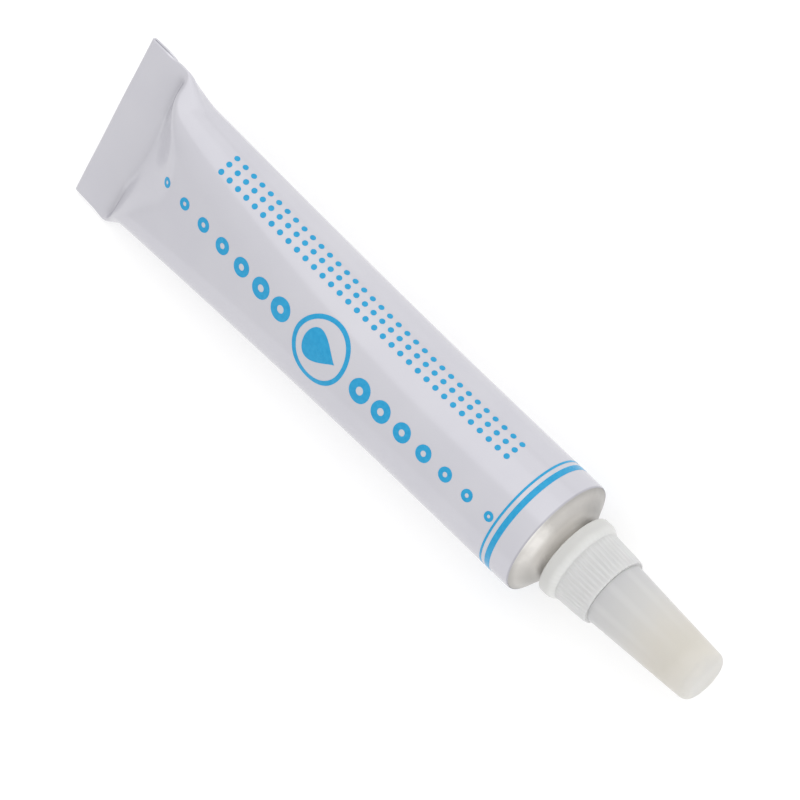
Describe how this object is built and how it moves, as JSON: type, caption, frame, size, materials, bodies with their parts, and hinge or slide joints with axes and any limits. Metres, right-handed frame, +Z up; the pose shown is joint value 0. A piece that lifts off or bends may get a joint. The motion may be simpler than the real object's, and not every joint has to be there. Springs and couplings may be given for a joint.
{
  "type": "jewelry glue tube",
  "caption": "Collapsible aluminium glue tube with a folded flat end, a screw-on needle nozzle with a ribbed collar, and a push-on translucent cap with a cleaning wire.",
  "frame": {"origin": "middle of the footprint box, on the surface that the tube lies on", "axes": "+X along the tube's axis towards the cap, +Z up; the flat end is rolled about X so that its lower corner rests on the surface"},
  "size_m": [0.102, 0.0204, 0.0161],
  "materials": {
    "bare_aluminium": "satin",
    "white_enamel": "glossy baked white enamel",
    "latex": "matt",
    "cement": "clear viscous",
    "white_plastic": "moulded, satin",
    "stainless_steel": "bright",
    "translucent_plastic": "translucent, frosted",
    "amber_resin": "resin"
  },
  "bodies": {
    "tube": {"tube_shell": "bare_aluminium", "enamel_coat": "white_enamel", "end_seal": "latex", "glue_fill": "cement"},
    "needle": {"needle": "stainless_steel"},
    "nozzle": {"nozzle": "white_plastic"},
    "cap": {"cap": "translucent_plastic", "cleaning_wire": "stainless_steel", "wire_plug": "amber_resin"}
  },
  "joints": [
    {"name": "nozzle_lift", "type": "slide", "parent": "tube", "child": "needle", "axis": [1, 0, 0], "range_m": [0, 0.0045]},
    {"name": "nozzle_turn", "type": "hinge", "parent": "needle", "child": "nozzle", "pos_m": [0.032, -0.00009, 0.00805], "axis": [1, 0, 0], "range_deg": [0, 1080]},
    {"name": "cap_pull", "type": "slide", "parent": "nozzle", "child": "cap", "axis": [1, 0, 0], "range_m": [0, 0.03]}
  ],
  "couplings": [
    {"joint": "nozzle_turn", "follows": "nozzle_lift", "rad_per_m": 4188.8}
  ]
}
